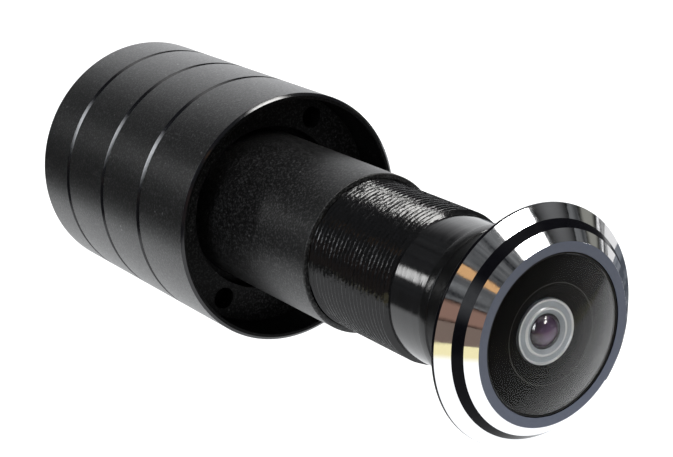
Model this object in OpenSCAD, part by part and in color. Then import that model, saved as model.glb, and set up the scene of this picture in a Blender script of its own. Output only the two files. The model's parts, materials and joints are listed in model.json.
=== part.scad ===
// Peephole door camera: a grooved housing sits behind the door, a lens head screws into it from the front.
// The viewing axis runs along Y, the lens looks along -Y and +Z is up.
// The origin is on the axis, in the plane of the rim that presses on the inside of the door.

/* [Housing] */
// Outside diameter of the grooved housing
housing_d = 40; // [39.6:0.2:42]
// Length of the housing behind the door face
housing_len = 47; // [46.6:0.2:52]
// Wall round the electronics
housing_wall = 2; // [1.6:0.1:2.2]
// Thickness of the rim that presses on the door
rim_wall = 1; // [0.8:0.1:1.2]
// Chamfer on both edges of the rim
rim_chamfer = 0.2; // [0.1:0.05:0.3]
// Depth of the recess inside the rim
mouth_depth = 7; // [5:0.25:7.25]
// Thickness of the wall that closes the electronics space at the front
web_t = 2; // [1.8:0.1:2.2]
// Hole in that wall for the camera lens
web_hole_d = 16; // [13:0.5:17]
// Distance from the rim to the first groove
groove_first = 13.6; // [12.6:0.2:14]
// Spacing of the grooves
groove_pitch = 12; // [11.4:0.2:12.2]
// Width of each groove
groove_w = 1; // [0.6:0.1:1.4]
// Depth of each groove
groove_depth = 0.5; // [0.3:0.05:0.8]

/* [Rear cover] */
// Thickness of the end wall
cover_wall = 2.5; // [2.2:0.1:2.7]
// Chamfer round the back edge
cover_chamfer = 0.6; // [0.3:0.1:1]
// Length of the threaded skirt inside the housing
skirt_len = 4; // [3.2:0.2:5]
// Wall of the skirt
skirt_wall = 1.9; // [1.6:0.05:2]
// Section diameter of the sealing ring
cover_seal_d = 1; // [0.8:0.05:1.1]
// Land in front of the sealing ring's groove
seal_land = 0.6; // [0.4:0.05:0.8]
// Diameter of the two key holes in the back
key_hole_d = 2.5; // [2:0.1:3]
// Distance of the key holes from the outer edge
key_hole_edge = 7; // [5:0.25:8]
// Depth of the key holes
key_hole_depth = 1.4; // [1:0.1:1.6]

/* [Cable grommet] */
// Bore for the supply cable
cable_d = 3.5; // [2.5:0.1:4]
// Hole in the cover that the grommet snaps into
grommet_hole_d = 7; // [6:0.1:7.6]
// Diameter of the outer collar
grommet_collar_d = 10; // [9:0.1:11]
// Thickness of the outer collar
grommet_collar_t = 1; // [0.8:0.1:1.2]
// Thickness of the inner collar
grommet_inner_t = 1.2; // [1:0.1:1.5]
// How far the inner collar grips behind the wall
grommet_grip = 0.9; // [0.6:0.05:1.2]

/* [Retaining ring] */
// Thickness of the ring at the bottom of the recess
ring_t = 3; // [2.4:0.1:3.2]
// Opening of the ring round the barrel
ring_bore_d = 26.6; // [26.2:0.1:28]
// Chamfer round the opening
ring_chamfer = 0.3; // [0.1:0.05:0.5]
// Diameter of the two spanner holes
ring_hole_d = 3.4; // [2.5:0.1:3.8]
// Angle of the first spanner hole
ring_hole_angle = 58; // [0:1:90]

/* [Barrel] */
// Outside diameter of the barrel in the door
barrel_d = 24.5; // [24.2:0.1:25.6]
// How far the barrel reaches into the door
barrel_reach = 21.4; // [20:0.2:22]
// Thickness of the flange at the back of the barrel
barrel_flange_t = 2.5; // [2.2:0.1:2.8]
// Chamfer on the end of the barrel
barrel_chamfer = 0.2; // [0.1:0.05:0.3]

/* [Front tube] */
// Major diameter of the thread
thread_d = 22.8; // [22.4:0.1:23]
// Pitch of the thread, which sets the lead-in chamfers
thread_pitch = 0.9; // [0.5:0.05:1]
// Length of thread in sight between barrel and plain tube
thread_shown = 18.6; // [16:0.2:20]
// Length of thread inside the barrel
thread_engaged = 15.5; // [10:0.5:15.5]
// Diameter of the plain front part
tube_d = 21.6; // [21:0.1:21.7]
// Bore that holds the lenses
tube_bore_d = 18; // [17.6:0.1:18.2]
// Opening of the lip at the front of the bore
lip_d = 15; // [14:0.5:16]
// Thickness of the lip
lip_t = 0.7; // [0.5:0.1:1]

/* [Gasket] */
// Door thickness that the clamp is set to
door_gap = 54.8; // [50:0.2:60]
// Outside diameter of the rubber gasket
gasket_d = 29.8; // [28:0.2:33]
// Thickness of the gasket between door and bezel
gasket_t = 2.5; // [1.5:0.1:3]
// Rounding chamfer on the outer edges of the gasket
gasket_chamfer = 0.3; // [0.1:0.05:0.5]
// Outside diameter of the sleeve that holds the gasket on the tube
gasket_sleeve_d = 22.7; // [22.6:0.1:24]
// Length of that sleeve behind the outside of the door
gasket_sleeve_len = 7.4; // [5:0.2:8]
// Length of the lip at the back of the sleeve
gasket_lip_len = 1.6; // [1:0.1:2.4]
// Depth of the neck in front of that lip
gasket_neck = 0.15; // [0.1:0.05:0.2]

/* [Bezel] */
// Outside diameter of the bezel
bezel_d = 33.8; // [33.2:0.2:38]
// Height of the plain outer edge
bezel_edge = 0.5; // [0.3:0.1:0.8]
// Height of the outer slope
outer_slope_h = 1.4; // [1.2:0.1:2]
// Diameter at the top of the outer slope
outer_slope_d = 30.3; // [29.2:0.1:31]
// Height of the step between the slopes
riser_h = 1.3; // [0.8:0.1:1.4]
// Diameter at the top of that step
riser_d = 28.4; // [27.6:0.1:29]
// Height of the inner slope
inner_slope_h = 1.2; // [0.9:0.1:1.6]
// Outside diameter of the flat front face
face_d = 25.4; // [24.8:0.1:26.4]
// Opening for the lens
lens_open_d = 22.6; // [22.4:0.1:23]
// How far the tube enters the bezel
tube_entry = 1.5; // [1.3:0.1:1.6]

/* [Front lens] */
// Diameter of the domed front lens
dome_d = 21.9; // [21.4:0.1:22.1]
// Height of its edge
dome_edge = 1.4; // [1.2:0.05:1.5]
// Height of the dome above its edge
dome_sag = 2.15; // [1.6:0.05:3.4]
// How far the seal stands above the edge of the lens
seal_proud = 0.1; // [0.05:0.05:0.2]
// Thickness of the black plate behind the lens
baffle_t = 1.15; // [1:0.05:1.3]
// Hole in that plate
baffle_hole_d = 10.6; // [9.8:0.1:11.6]
// Diameter of the step round that hole
baffle_step_d = 13.2; // [12.4:0.1:16]
// Width of the land on that plate that carries the lens
baffle_land = 0.4; // [0.2:0.05:0.6]
// How far the plate falls from the land to the step
baffle_fall = 0.2; // [0.1:0.05:0.3]
// How far the step falls to the hole
baffle_step_fall = 0.35; // [0.2:0.05:0.45]

/* [Inner lenses] */
// Diameter of the bright ring round the inner lens
inner_ring_d = 8.3; // [8:0.1:9.2]
// Height of that ring
inner_ring_t = 0.5; // [0.4:0.05:0.6]
// Width of the raised edges of that ring
inner_ring_edge = 0.2; // [0.1:0.05:0.25]
// Depth of the dish between those edges
inner_ring_dish = 0.15; // [0.1:0.05:0.25]
// Width of the bevel inside its inner edge
inner_ring_bevel = 0.55; // [0.4:0.05:0.6]
// How far that bevel falls to the inner lens
inner_ring_bevel_fall = 0.35; // [0.2:0.05:0.35]
// Diameter of the inner lens
inner_lens_d = 4.4; // [4:0.1:4.6]
// Thickness of the inner lens at its edge
inner_lens_t = 1.4; // [1:0.1:2]
// Height of its dome
inner_lens_sag = 1.2; // [0.6:0.05:1.2]
// Length of the cell that holds it
cell_len = 8; // [6:0.25:10]
// Width of the ledge behind the inner lens
cell_ledge = 0.5; // [0.3:0.05:0.7]
// Length of the spacer behind the cell
front_spacer_len = 12; // [8:0.5:14]
// Wall of both spacers
spacer_wall = 1; // [0.8:0.1:1.4]
// Edge thickness of the field lens
field_lens_edge = 2.4; // [1.8:0.1:3]
// Radius of curvature of the field lens and the rear lens
lens_curve = 24; // [20:1:36]
// Edge thickness of the rear lens
rear_lens_edge = 1.6; // [1.2:0.1:2]
// Thickness of the ring that holds the lenses in
retainer_t = 3; // [2.2:0.2:3.6]
// Opening of that ring
retainer_bore_d = 13; // [12:0.2:14]
// Distance of that ring from the end of the tube
retainer_inset = 2; // [1:0.2:2.6]
// Width of the two key slots in that ring
retainer_slot_w = 1.2; // [0.8:0.1:1.6]
// Depth of those slots
retainer_slot_t = 1; // [0.6:0.1:1.4]

/* [Camera module] */
// Side of the image sensor
sensor_w = 8; // [7:0.25:8.5]
// Thickness of the image sensor
sensor_t = 1.2; // [1:0.1:1.5]
// Clearance round the image sensor in the holder
sensor_room = 0.5; // [0.3:0.05:0.6]
// Distance from the sensor to the camera lens
back_focus = 1.6; // [1.2:0.1:2]
// Diameter of the lens holder
holder_d = 13; // [12.6:0.1:13.5]
// Height of the lens holder
holder_h = 6; // [5.5:0.25:6.5]
// Distance between the two screw ears of the holder
ear_span = 17.4; // [17:0.1:18]
// Diameter of each ear
ear_d = 3.8; // [3.4:0.1:4.2]
// Thickness of each ear
ear_t = 2; // [1.6:0.1:2.4]
// Diameter of the threaded part of the camera lens
camera_d = 8; // [7.4:0.1:8.4]
// Length of the camera lens
camera_len = 8.2; // [7.4:0.2:8.6]
// Diameter of the head of the camera lens
camera_head_d = 10.6; // [9.6:0.2:12]
// Height of that head
camera_head_h = 2.6; // [2:0.1:3]
// Diameter of the glass in the camera lens
camera_glass_d = 5.6; // [4.8:0.1:6.2]
// Depth of the glass in the camera lens
camera_glass_t = 3; // [2.4:0.1:3.4]
// Depth and width of the flared mouth in front of that glass
camera_flare = 0.8; // [0.5:0.05:1]
// Width of the ledge behind that glass
camera_ledge = 0.6; // [0.4:0.05:0.8]
// Width of the grip notches round the head
camera_notch = 0.9; // [0.6:0.05:1.1]
// Shank diameter of the holder screws
holder_screw_d = 1.6; // [1.4:0.1:1.8]
// Head diameter of the holder screws
holder_head_d = 3; // [2.6:0.1:3.4]
// Head height of the holder screws
holder_head_t = 1.1; // [0.8:0.1:1.3]

/* [Boards] */
// Clearance between the round boards and the cover's skirt
board_gap = 0.5; // [0.3:0.05:0.8]
// Thickness of the boards
board_t = 1.5; // [1.2:0.1:1.6]
// Distance of the four posts from the edge of the boards
post_edge = 2.7; // [2.5:0.05:3]
// Diameter of the posts
post_d = 4.4; // [3.8:0.1:4.6]
// How much longer the posts in front of the main board are than those behind it
front_post_extra = 2; // [1.5:0.1:3]
// Room between the tallest component and the rear cover
end_room = 2; // [1.5:0.1:3]
// Diameter of the studs and screws
stud_d = 2.4; // [2:0.1:2.6]
// Length of the studs in the front wall of the housing
stud_len = 1.4; // [1:0.1:1.5]
// How far studs and screws go into the posts
stud_grip = 3; // [2.5:0.1:3.5]
// Head diameter of the board screws
head_d = 3.8; // [3.4:0.1:4.2]
// Head height of the board screws
head_t = 1.5; // [1.2:0.1:1.8]

/* [Components] */
// Side of the processor
processor_w = 11; // [10:0.25:11.5]
// Thickness of the processor
processor_t = 1.4; // [1:0.1:2]
// Length of the memory chip
memory_l = 8; // [7:0.25:9]
// Width of the memory chip
memory_w = 5; // [4:0.25:5.5]
// Thickness of the memory chip
memory_t = 1; // [0.8:0.1:1.4]
// Distance of the memory chip from the axis
memory_out = 8.8; // [8.6:0.05:9.2]
// Length of the header between the boards
header_l = 10; // [8:0.25:10.5]
// Width of that header
header_w = 2.6; // [2.2:0.1:2.8]
// Distance of that header from the axis
header_out = 8.2; // [7.6:0.1:8.6]
// Diameter of the capacitors
capacitor_d = 6; // [5:0.2:6.4]
// Height of the capacitors
capacitor_h = 6; // [5.8:0.1:7]
// Distance of the capacitors from the axis
capacitor_out = 8.8; // [8:0.1:9.2]
// Side of the choke
choke_w = 6.6; // [5.6:0.2:7]
// Height of the choke
choke_h = 3.2; // [2.6:0.1:4]
// Diameter of the dish in the choke
choke_dish_d = 4; // [3:0.1:5]
// Depth of the dish in the choke
choke_dish_t = 0.4; // [0.2:0.05:0.8]
// Length of the cable connector
connector_l = 8; // [6:0.25:8.5]
// Width of the cable connector
connector_w = 4.6; // [4:0.2:5]
// Height of the cable connector
connector_h = 5.2; // [4.4:0.1:5.6]
// Wall of the cable connector
connector_wall = 0.8; // [0.6:0.05:1]
// Depth of the socket in the cable connector
connector_depth = 3.8; // [3:0.1:4]
// Distance of the cable connector from the axis
connector_out = 8.4; // [7.6:0.1:8.8]

/* [Fits] */
// Running clearance of the thread in the barrel and of the tube in the gasket
running_gap = 0.05; // [0.03:0.01:0.09]
// Clearance of parts that slip into each other and stay there
slip_gap = 0.05; // [0.03:0.01:0.08]
// Clearance of screws and studs in the holes of the boards
hole_gap = 0.15; // [0.1:0.01:0.2]
// Clearance between the gasket and the bezel
face_gap = 0.02; // [0.02:0.01:0.05]

/* [Hidden] */
$fn = 96;
overcut = 1;
housing_r = housing_d / 2;
mouth_r = housing_r - rim_wall;
cavity_r = housing_r - housing_wall;
ring_hole_r = (ring_bore_d / 2 + mouth_r - slip_gap) / 2;
ring_back = -mouth_depth - ring_t;
web_front = ring_back - barrel_flange_t;
web_back = web_front - web_t;
seam = -groove_first - 2 * groove_pitch;
cover_back = -housing_len;
cover_in = cover_back + cover_wall;
skirt_r = cavity_r - slip_gap;
cover_seal_r = skirt_r - cover_seal_d / 2;
seal_start = seam + seal_land;
seal_end = seal_start + cover_seal_d + 2 * slip_gap;
grommet_r = grommet_hole_d / 2;
barrel_bore_r = thread_d / 2 + running_gap;
thread_depth = 0.6 * thread_pitch;
thread_front = barrel_reach + thread_shown;
tube_back = barrel_reach - thread_engaged;
tube_r = tube_d / 2;
tube_bore_r = tube_bore_d / 2;
sleeve_back = door_gap - gasket_sleeve_len;
gasket_front = door_gap + gasket_t;
bezel_back = gasket_front + face_gap;
slope_start = bezel_back + bezel_edge;
riser_start = slope_start + outer_slope_h;
nose_start = riser_start + riser_h;
bezel_front = nose_start + inner_slope_h;
tube_front = bezel_back + tube_entry;
lens_open_r = lens_open_d / 2;
baffle_back = tube_front + slip_gap;
baffle_front = baffle_back + baffle_t;
dome_back = baffle_front + slip_gap;
dome_r = dome_d / 2;
dome_curve = (dome_r * dome_r + dome_sag * dome_sag) / (2 * dome_sag);
cell_front = tube_front - lip_t - slip_gap;
cell_back = cell_front - cell_len;
insert_r = tube_bore_r - slip_gap;
inner_lens_r = inner_lens_d / 2;
inner_ring_bore_r = inner_lens_r + slip_gap;
inner_ring_front = cell_front + inner_ring_t;
inner_ring_low = inner_ring_front - inner_ring_dish;
inner_ring_r = inner_ring_d / 2;
inner_edge_r = inner_ring_bore_r + inner_ring_bevel;
inner_lens_curve = (inner_lens_r * inner_lens_r + inner_lens_sag * inner_lens_sag) / (2 * inner_lens_sag);
spacer_bore_r = insert_r - spacer_wall;
lens_reach = 2 * lens_curve;
lens_drop = sqrt(lens_curve * lens_curve - insert_r * insert_r);
lens_swell = sqrt(lens_curve * lens_curve - spacer_bore_r * spacer_bore_r) - lens_drop;
spacer_back = cell_back - front_spacer_len;
field_mid = spacer_back - slip_gap - lens_swell - field_lens_edge / 2;
rear_spacer_front = field_mid - field_lens_edge / 2 - lens_swell - slip_gap;
retainer_back = tube_back + retainer_inset;
rear_lens_back = retainer_back + retainer_t + slip_gap;
rear_spacer_back = rear_lens_back + rear_lens_edge + lens_swell + slip_gap;
board_r = skirt_r - skirt_wall - board_gap;
post_r = board_r - post_edge;
rear_post_len = (web_back - cover_in - end_room - capacitor_h - 2 * board_t - front_post_extra) / 2;
front_post_len = rear_post_len + front_post_extra;
main_front = web_back - front_post_len;
main_back = main_front - board_t;
power_front = main_back - rear_post_len;
power_back = power_front - board_t;
post_angles = [45, 135, 225, 315];
camera_back = main_front + sensor_t + back_focus;
camera_front = camera_back + camera_len;

// Lays a shape that was drawn along Z on the viewing axis, with Z towards the lens.
module on_axis() {
    rotate([90, 0, 0]) children();
}

// Turns an outline of radius and distance into a round body.
module turned(outline) {
    rotate_extrude() polygon(outline);
}

// Puts a shape at a radius and an angle round the axis.
module round_axis(radius, angle, along) {
    rotate([0, 0, angle]) translate([radius, 0, along]) children();
}

// A box with its lower face at z = 0.
module block(l, w, h) {
    translate([-l / 2, -w / 2, 0]) cube([l, w, h]);
}

// Grooved outer shell with the rim, the recess and the wall in front of the electronics.
module housing() {
    color("#202124") on_axis() difference() {
        turned([
            [web_hole_d / 2, web_back], [web_hole_d / 2, web_front], [mouth_r, web_front],
            [mouth_r, -rim_chamfer], [mouth_r + rim_chamfer, 0], [housing_r - rim_chamfer, 0],
            [housing_r, -rim_chamfer],
            [housing_r, groove_w / 2 - groove_first], [housing_r - groove_depth, -groove_first],
            [housing_r, -groove_w / 2 - groove_first],
            [housing_r, groove_w / 2 - groove_first - groove_pitch],
            [housing_r - groove_depth, -groove_first - groove_pitch],
            [housing_r, -groove_w / 2 - groove_first - groove_pitch],
            [housing_r, seam + groove_w / 2], [housing_r - groove_depth, seam],
            [cavity_r, seam], [cavity_r, web_back]]);
        for (angle = post_angles)
            round_axis(post_r, angle, web_back - overcut)
                cylinder(d = stud_d + 2 * slip_gap, h = overcut + stud_len + hole_gap);
    }
}

// Cap that screws into the back of the housing, with key holes and the cable hole.
module rear_cover() {
    color("#202124") on_axis() difference() {
        turned([
            [grommet_r, cover_in], [grommet_r, cover_back + grommet_collar_t + slip_gap],
            [grommet_collar_d / 2 + slip_gap, cover_back + grommet_collar_t + slip_gap],
            [grommet_collar_d / 2 + slip_gap, cover_back], [housing_r - cover_chamfer, cover_back],
            [housing_r, cover_back + cover_chamfer], [housing_r, seam - groove_w / 2],
            [housing_r - groove_depth, seam], [skirt_r, seam], [skirt_r, seal_start],
            [skirt_r - cover_seal_d - slip_gap, seal_start], [skirt_r - cover_seal_d - slip_gap, seal_end],
            [skirt_r, seal_end], [skirt_r, seam + skirt_len],
            [skirt_r - skirt_wall, seam + skirt_len], [skirt_r - skirt_wall, cover_in]]);
        for (angle = [0, 180])
            round_axis(housing_r - key_hole_edge, angle, cover_back - overcut)
                cylinder(d = key_hole_d, h = overcut + key_hole_depth);
    }
}

// Sealing ring in the groove of the cover's skirt.
module cover_seal() {
    color("#0c0c0d") on_axis()
        translate([0, 0, (seal_start + seal_end) / 2])
            rotate_extrude() translate([cover_seal_r, 0]) circle(d = cover_seal_d, $fn = 32);
}

// Rubber grommet that the supply cable comes in through.
module cable_grommet() {
    color("#141415") on_axis() turned([
        [cable_d / 2, cover_back], [grommet_collar_d / 2, cover_back],
        [grommet_collar_d / 2, cover_back + grommet_collar_t],
        [grommet_r - slip_gap, cover_back + grommet_collar_t], [grommet_r - slip_gap, cover_in + slip_gap],
        [grommet_r + grommet_grip, cover_in + slip_gap],
        [grommet_r + grommet_grip / 2, cover_in + slip_gap + grommet_inner_t],
        [cable_d / 2, cover_in + slip_gap + grommet_inner_t]]);
}

// Threaded ring with two spanner holes that clamps the barrel's flange in the housing.
module retaining_ring() {
    color("#2a2b2e") on_axis() difference() {
        turned([
            [ring_bore_d / 2, ring_back], [mouth_r - slip_gap, ring_back],
            [mouth_r - slip_gap, -mouth_depth],
            [ring_bore_d / 2 + ring_chamfer, -mouth_depth],
            [ring_bore_d / 2, -mouth_depth - ring_chamfer]]);
        for (angle = [ring_hole_angle, ring_hole_angle + 180])
            round_axis(ring_hole_r, angle, ring_back - overcut)
                cylinder(d = ring_hole_d, h = ring_t + 2 * overcut);
    }
}

// Smooth sleeve that goes into the door and takes the thread of the front tube.
module barrel() {
    color("#1d1e21") on_axis() turned([
        [barrel_bore_r, web_front], [mouth_r - slip_gap, web_front], [mouth_r - slip_gap, ring_back],
        [barrel_d / 2, ring_back], [barrel_d / 2, barrel_reach - barrel_chamfer],
        [barrel_d / 2 - barrel_chamfer, barrel_reach], [barrel_bore_r, barrel_reach]]);
}

// Threaded body of the camera's own lens, which looks into the back of the front tube.
module camera_barrel() {
    color("#161617") on_axis() difference() {
        turned([
            [camera_glass_d / 2 - camera_ledge, camera_back], [camera_d / 2, camera_back],
            [camera_d / 2, camera_front - camera_head_h], [camera_head_d / 2, camera_front - camera_head_h],
            [camera_head_d / 2, camera_front], [camera_glass_d / 2 + camera_flare, camera_front],
            [camera_glass_d / 2, camera_front - camera_flare],
            [camera_glass_d / 2, camera_front - camera_glass_t],
            [camera_glass_d / 2 - camera_ledge, camera_front - camera_glass_t]]);
        for (angle = [0 : 45 : 315])
            round_axis(camera_head_d / 2, angle, camera_front - camera_head_h - overcut)
                block(camera_notch, camera_notch, camera_head_h + 2 * overcut);
    }
}

// Front glass of the camera's own lens.
module camera_glass() {
    color("#5f5a78") on_axis() intersection() {
        translate([0, 0, camera_front - camera_flare - 2 * camera_glass_d]) sphere(r = 2 * camera_glass_d);
        translate([0, 0, camera_front - camera_glass_t + slip_gap])
            cylinder(d = camera_glass_d - 2 * slip_gap, h = camera_glass_t);
    }
}

// Holder that stands over the image sensor and carries the camera's lens.
module lens_holder() {
    color("#18191a") on_axis() difference() {
        union() {
            translate([0, 0, main_front]) cylinder(d = holder_d, h = holder_h);
            translate([0, 0, main_front]) block(ear_span, ear_d, ear_t);
            for (side = [-1, 1])
                translate([side * ear_span / 2, 0, main_front]) cylinder(d = ear_d, h = ear_t);
        }
        translate([0, 0, main_front - overcut])
            block(sensor_w + 2 * sensor_room, sensor_w + 2 * sensor_room, overcut + sensor_t + sensor_room);
        translate([0, 0, main_front]) cylinder(d = camera_d + 2 * slip_gap, h = holder_h + overcut);
        for (side = [-1, 1])
            translate([side * ear_span / 2, 0, main_front - overcut])
                cylinder(d = holder_screw_d + 2 * slip_gap, h = overcut + ear_t - slip_gap - hole_gap);
    }
}

// Image sensor on the front of the main board.
module image_sensor() {
    color("#3a4a44") on_axis() translate([0, 0, main_front]) block(sensor_w, sensor_w, sensor_t);
}

// Round board with the four post holes.
module round_board(back) {
    difference() {
        translate([0, 0, back]) cylinder(r = board_r, h = board_t);
        for (angle = post_angles)
            round_axis(post_r, angle, back - overcut)
                cylinder(d = stud_d + 2 * hole_gap, h = board_t + 2 * overcut);
        children();
    }
}

// Main board, which carries the sensor, the processor and the memory.
module main_board() {
    color("#14532d") on_axis() round_board(main_back)
        for (side = [-1, 1])
            translate([side * ear_span / 2, 0, main_back - overcut])
                cylinder(d = holder_screw_d + 2 * hole_gap, h = board_t + 2 * overcut);
}

// Two small screws that hold the lens holder from behind.
module holder_screws() {
    color("#b9bcc0") on_axis()
        for (side = [-1, 1])
            translate([side * ear_span / 2, 0, main_back - holder_head_t]) {
                cylinder(d = holder_head_d, h = holder_head_t);
                cylinder(d = holder_screw_d, h = holder_head_t + board_t + ear_t - 2 * hole_gap);
            }
}

// Processor on the back of the main board.
module processor_chip() {
    color("#26272a") on_axis()
        translate([0, 0, main_back - processor_t]) block(processor_w, processor_w, processor_t);
}

// Memory chip beside the processor.
module memory_chip() {
    color("#26272a") on_axis()
        translate([0, memory_out, main_back - memory_t]) block(memory_l, memory_w, memory_t);
}

// Header that joins the two boards.
module board_header() {
    color("#1f2024") on_axis()
        translate([0, -header_out, power_front]) block(header_l, header_w, rear_post_len);
}

// Power board behind the main board.
module power_board() {
    color("#14532d") on_axis() round_board(power_back);
}

// Two capacitors on the power board.
module capacitors() {
    color("#3b4a63") on_axis()
        for (angle = [90, 180])
            round_axis(capacitor_out, angle, power_back - capacitor_h)
                cylinder(d = capacitor_d, h = capacitor_h);
}

// Choke on the power board.
module choke() {
    color("#2d2d2f") on_axis() translate([0, 0, power_back - choke_h]) difference() {
        block(choke_w, choke_w, choke_h);
        translate([0, 0, -overcut]) cylinder(d = choke_dish_d, h = overcut + choke_dish_t);
    }
}

// Socket for the supply cable on the power board.
module cable_connector() {
    color("#d8d2c0") on_axis() translate([0, -connector_out, power_back - connector_h]) difference() {
        block(connector_l, connector_w, connector_h);
        translate([0, 0, -overcut])
            block(connector_l - 2 * connector_wall, connector_w - 2 * connector_wall,
                overcut + connector_depth);
    }
}

// Four posts between the housing and the main board.
module front_posts() {
    color("#c4a75a") on_axis()
        for (angle = post_angles)
            round_axis(post_r, angle, main_front) difference() {
                union() {
                    cylinder(d = post_d, h = front_post_len);
                    cylinder(d = stud_d, h = front_post_len + stud_len);
                }
                translate([0, 0, -1]) cylinder(d = stud_d + 2 * slip_gap, h = 1 + stud_grip + 2 * hole_gap);
            }
}

// Four posts between the boards, with studs through the main board.
module rear_posts() {
    color("#c4a75a") on_axis()
        for (angle = post_angles)
            round_axis(post_r, angle, power_front) difference() {
                union() {
                    cylinder(d = post_d, h = rear_post_len);
                    cylinder(d = stud_d, h = rear_post_len + board_t + stud_grip);
                }
                translate([0, 0, -1]) cylinder(d = stud_d + 2 * slip_gap, h = 1 + stud_grip + 2 * hole_gap);
            }
}

// Four screws that hold the power board on its posts.
module board_screws() {
    color("#b9bcc0") on_axis()
        for (angle = post_angles)
            round_axis(post_r, angle, power_back - head_t) {
                cylinder(d = head_d, h = head_t);
                cylinder(d = stud_d, h = head_t + board_t + stud_grip);
            }
}

// Rubber gasket that the bezel squeezes against the outside of the door, with a sleeve round the tube.
module door_gasket() {
    color("#0f0f10") on_axis() turned([
        [tube_r + running_gap, sleeve_back], [gasket_sleeve_d / 2, sleeve_back],
        [gasket_sleeve_d / 2, sleeve_back + gasket_lip_len - gasket_neck],
        [gasket_sleeve_d / 2 - gasket_neck, sleeve_back + gasket_lip_len],
        [gasket_sleeve_d / 2 - gasket_neck, door_gap], [gasket_d / 2 - gasket_chamfer, door_gap],
        [gasket_d / 2, door_gap + gasket_chamfer], [gasket_d / 2, gasket_front - gasket_chamfer],
        [gasket_d / 2 - gasket_chamfer, gasket_front], [tube_r + running_gap, gasket_front]]);
}

// Polished bezel with two slopes, a step between them and a flat front face.
module bezel() {
    color("#d6d8dc") on_axis() turned([
        [tube_r + slip_gap, bezel_back], [bezel_d / 2, bezel_back], [bezel_d / 2, slope_start],
        [outer_slope_d / 2, riser_start], [riser_d / 2, nose_start], [face_d / 2, bezel_front],
        [lens_open_r, bezel_front], [lens_open_r, tube_front], [tube_r + slip_gap, tube_front]]);
}

// Tube of the lens head, threaded behind and plain in front.
module front_tube() {
    color("#1a1b1d") on_axis() turned([
        [tube_bore_r, tube_back], [thread_d / 2 - thread_depth, tube_back],
        [thread_d / 2, tube_back + thread_depth], [thread_d / 2, thread_front - thread_depth],
        [tube_r, thread_front], [tube_r, tube_front], [lip_d / 2, tube_front],
        [lip_d / 2, tube_front - lip_t], [tube_bore_r, tube_front - lip_t]]);
}

// Domed front lens.
module dome_lens() {
    color("#9aa3b0", 0.35) on_axis() intersection() {
        translate([0, 0, dome_back + dome_edge + dome_sag - dome_curve]) sphere(r = dome_curve, $fn = 192);
        translate([0, 0, dome_back]) cylinder(r = dome_r, h = dome_edge + 2 * dome_sag);
    }
}

// Black seal between the front lens and the bezel.
module lens_seal() {
    color("#0b0b0c") on_axis() turned([
        [dome_r + slip_gap, dome_back], [lens_open_r - slip_gap, dome_back],
        [lens_open_r - slip_gap, dome_back + dome_edge + seal_proud],
        [dome_r + slip_gap, dome_back + dome_edge + seal_proud]]);
}

// Black plate behind the front lens, stepped down to the hole over the inner lens.
module lens_baffle() {
    color("#101011") on_axis() turned([
        [baffle_hole_d / 2, baffle_back], [lens_open_r - slip_gap, baffle_back],
        [lens_open_r - slip_gap, baffle_front], [dome_r - baffle_land, baffle_front],
        [baffle_step_d / 2, baffle_front - baffle_fall],
        [baffle_hole_d / 2, baffle_front - baffle_fall - baffle_step_fall]]);
}

// Bright ring round the inner lens, dished between two raised edges, with a bevel down to the lens.
module inner_ring() {
    color("#9a9ea6") on_axis() turned([
        [inner_ring_bore_r, cell_front], [inner_ring_r, cell_front], [inner_ring_r, inner_ring_front],
        [inner_ring_r - inner_ring_edge, inner_ring_front],
        [inner_ring_r - inner_ring_edge - inner_ring_dish, inner_ring_low],
        [inner_edge_r + inner_ring_edge + inner_ring_dish, inner_ring_low],
        [inner_edge_r + inner_ring_edge, inner_ring_front], [inner_edge_r, inner_ring_front],
        [inner_ring_bore_r, inner_ring_front - inner_ring_bevel_fall]]);
}

// Small coated lens in the middle.
module inner_lens() {
    color("#6a5a78", 0.35) on_axis() intersection() {
        translate([0, 0, cell_front + inner_lens_sag - inner_lens_curve]) sphere(r = inner_lens_curve);
        translate([0, 0, cell_front - inner_lens_t])
            cylinder(r = inner_lens_r, h = inner_lens_t + 2 * inner_lens_sag);
    }
}

// Cell that carries the inner lens and its ring at the front of the bore.
module lens_cell() {
    color("#131314") on_axis() turned([
        [insert_r, cell_back], [insert_r, cell_front], [inner_lens_r + slip_gap, cell_front],
        [inner_lens_r + slip_gap, cell_front - inner_lens_t - slip_gap],
        [inner_lens_r - cell_ledge, cell_front - inner_lens_t - slip_gap], [spacer_bore_r, cell_back]]);
}

// Spacer between the cell and the field lens.
module front_spacer() {
    color("#131314") on_axis() turned([
        [spacer_bore_r, spacer_back], [insert_r, spacer_back], [insert_r, cell_back],
        [spacer_bore_r, cell_back]]);
}

// Lens with two convex faces in the middle of the tube.
module field_lens() {
    color("#aab2bf", 0.35) on_axis() intersection() {
        translate([0, 0, field_mid - lens_reach / 2]) cylinder(r = insert_r, h = lens_reach);
        translate([0, 0, field_mid + field_lens_edge / 2 - lens_drop]) sphere(r = lens_curve);
        translate([0, 0, field_mid - field_lens_edge / 2 + lens_drop]) sphere(r = lens_curve);
    }
}

// Spacer between the field lens and the rear lens.
module rear_spacer() {
    color("#131314") on_axis() turned([
        [spacer_bore_r, rear_spacer_back], [insert_r, rear_spacer_back], [insert_r, rear_spacer_front],
        [spacer_bore_r, rear_spacer_front]]);
}

// Lens at the back of the tube, flat on the side of the camera.
module rear_lens() {
    color("#aab2bf", 0.35) on_axis() intersection() {
        translate([0, 0, rear_lens_back]) cylinder(r = insert_r, h = lens_reach);
        translate([0, 0, rear_lens_back + rear_lens_edge - lens_drop]) sphere(r = lens_curve);
    }
}

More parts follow.
